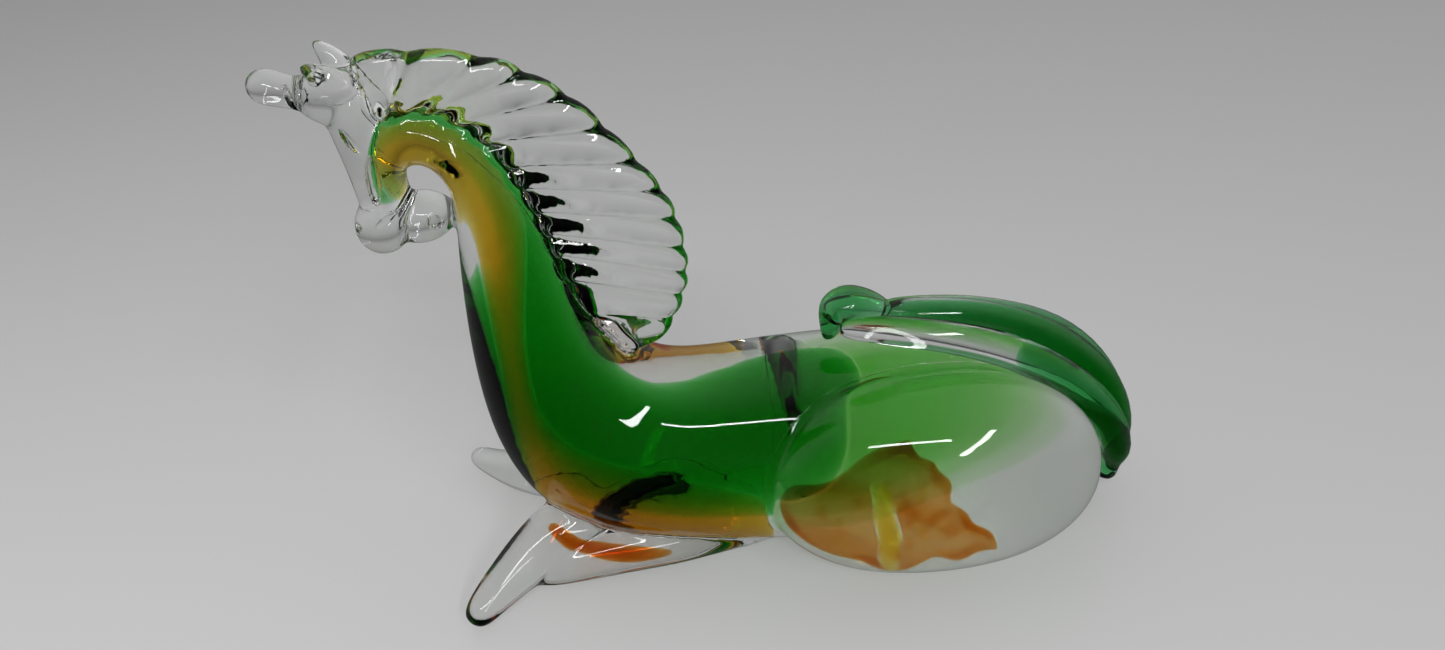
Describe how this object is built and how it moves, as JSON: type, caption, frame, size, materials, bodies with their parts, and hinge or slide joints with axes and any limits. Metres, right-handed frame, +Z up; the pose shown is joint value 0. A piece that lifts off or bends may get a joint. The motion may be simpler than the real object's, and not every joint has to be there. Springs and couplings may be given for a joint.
{
  "type": "reclining horse figurine",
  "caption": "Clear cased glass horse lying down, with a green and amber core, a ribbed crest on its arched neck, clear legs and haunches, and a green tail.",
  "frame": {"origin": "centre of the bounding box in plan, on the flat ground face the horse lies on", "axes": "+Z up, -X towards the horse's face, +X towards its tail; Y = 0 is the plane through its neck and barrel, and -Y is its left side"},
  "size_m": [0.1962, 0.0748, 0.1367],
  "materials": {
    "clear_crystal": "fire polished",
    "green_glass": "fire polished",
    "amber_glass": "fire polished",
    "tail_green": "fire polished"
  },
  "bodies": {
    "root": {"crystal_casing": "clear_crystal", "green_core": "green_glass", "amber_core": "amber_glass", "head": "clear_crystal", "forelock": "clear_crystal", "left_ear": "clear_crystal", "right_ear": "clear_crystal", "mane_crest": "clear_crystal", "left_foreleg": "clear_crystal", "right_foreleg": "clear_crystal", "left_foreleg_amber": "amber_glass", "right_foreleg_amber": "amber_glass", "left_haunch": "clear_crystal", "right_haunch": "clear_crystal", "left_haunch_amber": "amber_glass", "right_haunch_amber": "amber_glass", "tail_left_strand": "tail_green", "tail_middle_strand": "tail_green", "tail_right_strand": "tail_green", "tail_curl": "tail_green"}
  },
  "joints": []
}
